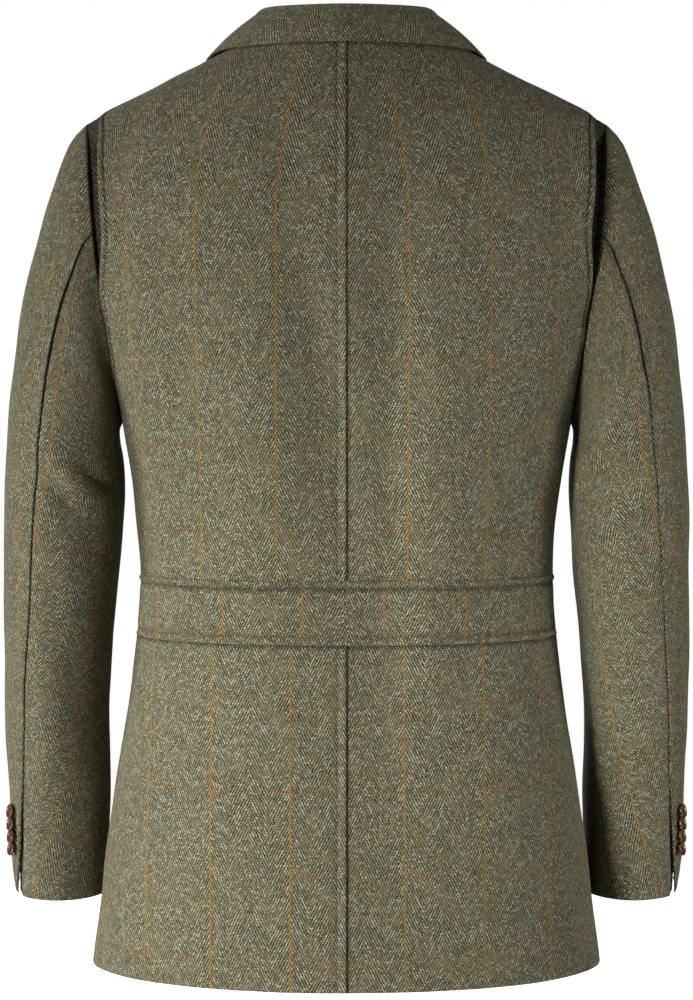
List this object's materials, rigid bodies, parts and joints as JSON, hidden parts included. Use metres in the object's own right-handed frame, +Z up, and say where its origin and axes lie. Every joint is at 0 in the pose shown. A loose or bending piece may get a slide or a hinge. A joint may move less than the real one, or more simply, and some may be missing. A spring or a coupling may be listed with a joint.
{
  "type": "hunting jacket",
  "caption": "Tailored tweed hunting jacket in its hollow worn form, with turned-down collar, action pleats, half belt, two-piece sleeves and vented, buttoned cuffs.",
  "frame": {"origin": "midway between the shoulder seams at the sides of the neck, where the wearer's shoulders carry the jacket", "axes": "+Z up the wearer's body, +Y out of the wearer's back, +X to the wearer's left"},
  "size_m": [0.5722, 0.3226, 0.792],
  "materials": {
    "tweed": "green-brown herringbone wool tweed with a rust windowpane check",
    "horn_button": "mottled brown horn, half polished"
  },
  "bodies": {
    "root": {"back_upper_left": "tweed", "back_upper_right": "tweed", "back_skirt_left": "tweed", "back_skirt_right": "tweed", "pleat_underlay_left": "tweed", "pleat_underlay_right": "tweed", "half_belt": "tweed", "collar": "tweed", "front_left": "tweed", "front_right": "tweed", "lapel_left": "tweed", "lapel_right": "tweed", "sleeve_top_left": "tweed", "sleeve_top_right": "tweed", "sleeve_under_left": "tweed", "sleeve_under_right": "tweed", "cuff_button_left_1": "horn_button", "cuff_button_left_2": "horn_button", "cuff_button_left_3": "horn_button", "cuff_button_left_4": "horn_button", "cuff_button_right_1": "horn_button", "cuff_button_right_2": "horn_button", "cuff_button_right_3": "horn_button", "cuff_button_right_4": "horn_button", "front_button_1": "horn_button", "front_button_2": "horn_button", "front_button_3": "horn_button"}
  },
  "joints": []
}
